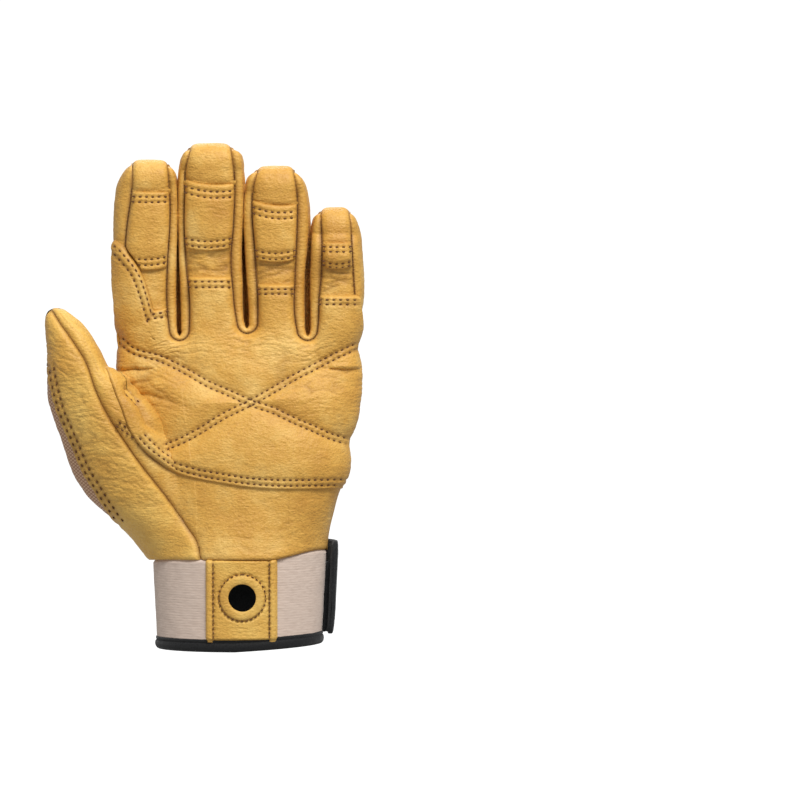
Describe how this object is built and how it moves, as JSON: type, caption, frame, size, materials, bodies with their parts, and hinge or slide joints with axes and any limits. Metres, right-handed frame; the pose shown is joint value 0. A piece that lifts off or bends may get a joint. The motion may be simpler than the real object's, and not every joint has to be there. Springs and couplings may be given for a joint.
{
  "type": "climbing glove",
  "caption": "Left-hand leather climbing glove, filled out, with a stitched palm overlay, knit back, elastic cuff, clip hole and touch fastening.",
  "frame": {"origin": "middle of the cuff mouth, where the hand goes in", "axes": "+Z along the fingers from the cuff, -Y out of the palm, -X towards the thumb"},
  "size_m": [0.1485, 0.064, 0.2329],
  "materials": {
    "tan_leather": "soft grained goatskin",
    "yellow_leather": "soft grained goatskin",
    "knit_back": "diamond knit",
    "ribbed_elastic": "fine cross ribs",
    "dark_lining": "matte knit",
    "dark_binding": "rolled knit tape",
    "touch_fastener": "brushed loop"
  },
  "bodies": {
    "root": {"palm_panel": "tan_leather", "palm_overlay": "tan_leather", "index_cap": "tan_leather", "middle_cap": "tan_leather", "ring_cap": "tan_leather", "little_cap": "tan_leather", "index_pad": "tan_leather", "middle_pad": "tan_leather", "ring_pad": "tan_leather", "little_pad": "tan_leather", "fourchette_index_middle": "tan_leather", "fourchette_middle_ring": "tan_leather", "fourchette_ring_little": "tan_leather", "index_side": "tan_leather", "little_side": "tan_leather", "thumb_inner": "yellow_leather", "thumb_outer": "yellow_leather", "cuff_tab": "yellow_leather", "tab_ring": "yellow_leather", "back_panel": "knit_back", "cuff_elastic": "ribbed_elastic", "cuff_lining": "dark_lining", "cuff_binding": "dark_binding", "loop_patch": "touch_fastener", "closure_strap": "touch_fastener"}
  },
  "joints": []
}
